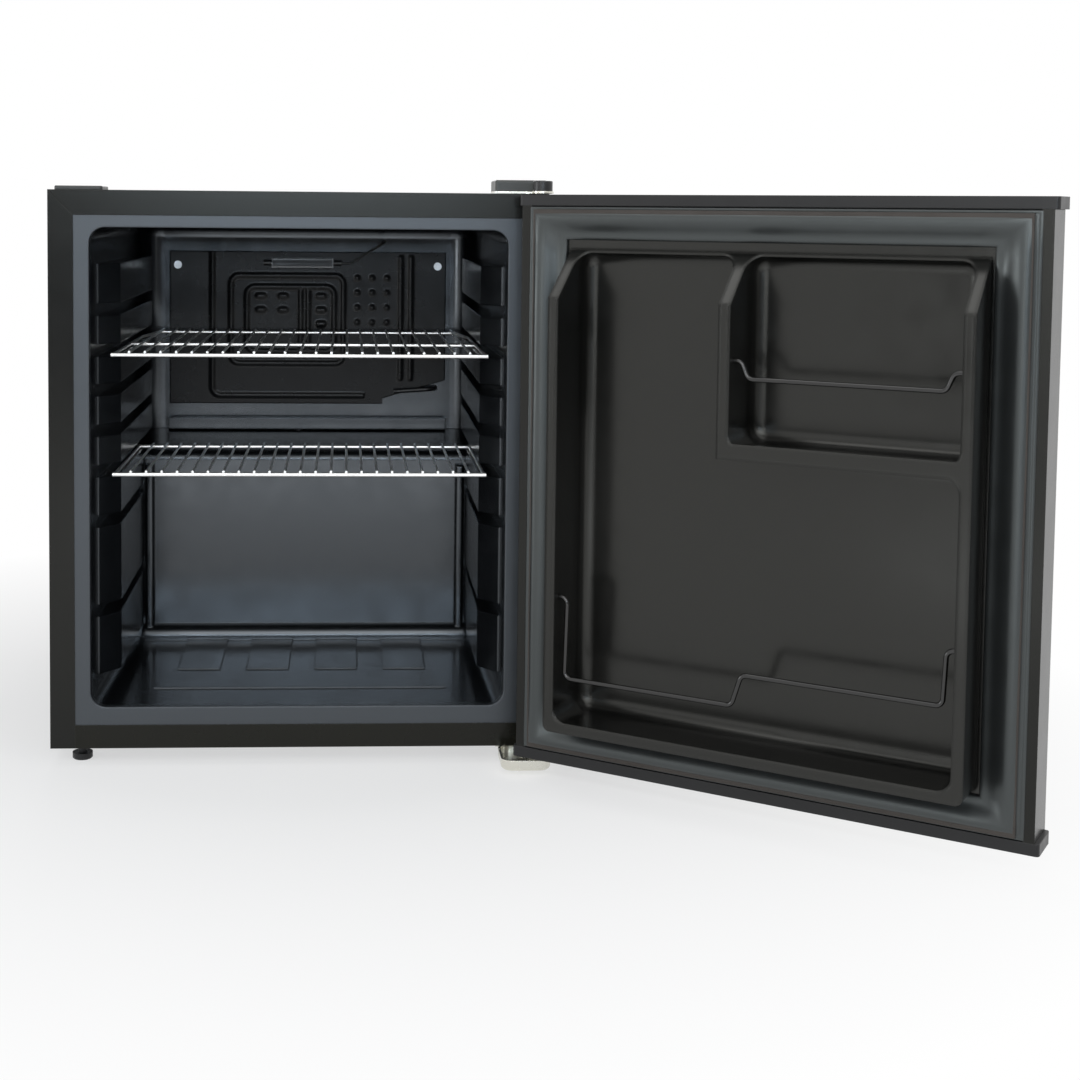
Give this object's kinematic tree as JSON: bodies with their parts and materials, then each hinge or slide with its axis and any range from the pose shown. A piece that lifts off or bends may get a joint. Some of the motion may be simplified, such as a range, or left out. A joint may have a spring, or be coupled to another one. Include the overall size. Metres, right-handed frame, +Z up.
{
  "type": "compact refrigerator",
  "caption": "Compact upright refrigerator in black, its right-hinged door standing open, with wire shelves and bottle rails, a compressor and a condenser at the back.",
  "frame": {"origin": "on the floor under the middle of the cabinet", "axes": "X to the right seen from the front, Y to the back, Z up; the front faces -Y"},
  "size_m": [0.7996, 0.7312, 0.525],
  "materials": {
    "cabinet_enamel": "satin",
    "rail_enamel": "satin",
    "plated_sheet": "matte",
    "liner_plastic": "satin",
    "door_liner_plastic": "satin",
    "foam": "matte",
    "evaporator_coat": "satin",
    "dark_plastic": "matte",
    "clip_plastic": "gloss",
    "knob_plastic": "satin",
    "chrome_wire": "polished",
    "rail_wire": "satin",
    "copper": "satin",
    "condenser_black": "satin",
    "compressor_black": "gloss",
    "rubber": "matte",
    "foot_plastic": "matte",
    "screw_zinc": "satin",
    "hinge_zinc": "satin",
    "hinge_dark": "satin",
    "cover_plastic": "satin",
    "cap_plastic": "satin",
    "gasket_vinyl": "satin",
    "magnet_strip": "matte",
    "bush_plastic": "matte"
  },
  "bodies": {
    "cabinet": {"outer_shell": "cabinet_enamel", "front_bottom_rail": "rail_enamel", "base_pan": "plated_sheet", "back_panel": "plated_sheet", "back_panel_screws": "screw_zinc", "cabinet_liner": "liner_plastic", "cabinet_foam": "foam", "evaporator_plate": "evaporator_coat", "evaporator_spacers": "dark_plastic", "evaporator_screws": "screw_zinc", "thermostat_bulb_clip": "clip_plastic", "thermostat_bulb": "copper", "thermostat_body": "dark_plastic", "drip_gutter": "liner_plastic", "drain_tube": "dark_plastic", "compressor_plate": "plated_sheet", "compressor": "compressor_black", "compressor_grommets": "rubber", "compressor_bolts": "screw_zinc", "relay_cover": "dark_plastic", "cord_gland": "rubber", "drip_tray": "dark_plastic", "condenser_tube": "condenser_black", "condenser_legs": "condenser_black", "condenser_wires": "condenser_black", "condenser_brackets": "condenser_black", "condenser_screws": "screw_zinc", "filter_drier": "copper", "liquid_tube": "copper", "discharge_tube": "copper", "suction_tube": "copper", "rear_feet": "foot_plastic", "top_hinge_bracket": "hinge_zinc", "top_hinge_pin": "hinge_dark", "top_hinge_screws": "screw_zinc", "top_hinge_cover": "cover_plastic", "blank_cover": "cover_plastic", "bottom_hinge_bracket": "hinge_zinc", "bottom_hinge_pin": "hinge_zinc", "bottom_hinge_screws": "screw_zinc"},
    "door": {"door_outer_panel": "cabinet_enamel", "door_top_cap": "cap_plastic", "door_bottom_cap": "cap_plastic", "door_liner": "door_liner_plastic", "door_foam": "foam", "door_gasket": "gasket_vinyl", "gasket_magnets": "magnet_strip", "hinge_bushes": "bush_plastic"},
    "upper_shelf": {"upper_shelf": "chrome_wire"},
    "lower_shelf": {"lower_shelf": "chrome_wire"},
    "knob": {"thermostat_knob": "knob_plastic"},
    "left_foot": {"front_left_foot": "foot_plastic"},
    "right_foot": {"front_right_foot": "foot_plastic"},
    "upper_rail": {"upper_bottle_rail": "rail_wire"},
    "lower_rail": {"lower_bottle_rail": "rail_wire"}
  },
  "joints": [
    {"name": "door_hinge", "type": "hinge", "parent": "cabinet", "child": "door", "pos_m": [0.211, -0.227, 0.265], "axis": [0, 0, 1], "range_deg": [-146, 14]},
    {"name": "upper_shelf_slide", "type": "slide", "parent": "cabinet", "child": "upper_shelf", "axis": [0, -1, 0], "range_m": [0, 0.22]},
    {"name": "lower_shelf_slide", "type": "slide", "parent": "cabinet", "child": "lower_shelf", "axis": [0, -1, 0], "range_m": [0, 0.14]},
    {"name": "thermostat_turn", "type": "hinge", "parent": "cabinet", "child": "knob", "pos_m": [0.082, 0.23, 0.463], "axis": [0, -1, 0], "range_deg": [0, 270]},
    {"name": "left_foot_screw", "type": "slide", "parent": "cabinet", "child": "left_foot", "axis": [0, 0, 1], "range_m": [-0.006, 0.004]},
    {"name": "right_foot_screw", "type": "slide", "parent": "cabinet", "child": "right_foot", "axis": [0, 0, 1], "range_m": [-0.006, 0.004]},
    {"name": "upper_rail_swing", "type": "hinge", "parent": "door", "child": "upper_rail", "pos_m": [0.42182, -0.42589, 0.381], "axis": [-0.829, 0.5592, 0], "range_deg": [-30, 45]},
    {"name": "lower_rail_swing", "type": "hinge", "parent": "door", "child": "lower_rail", "pos_m": [0.35964, -0.38395, 0.173], "axis": [-0.829, 0.5592, 0], "range_deg": [-30, 45]}
  ]
}
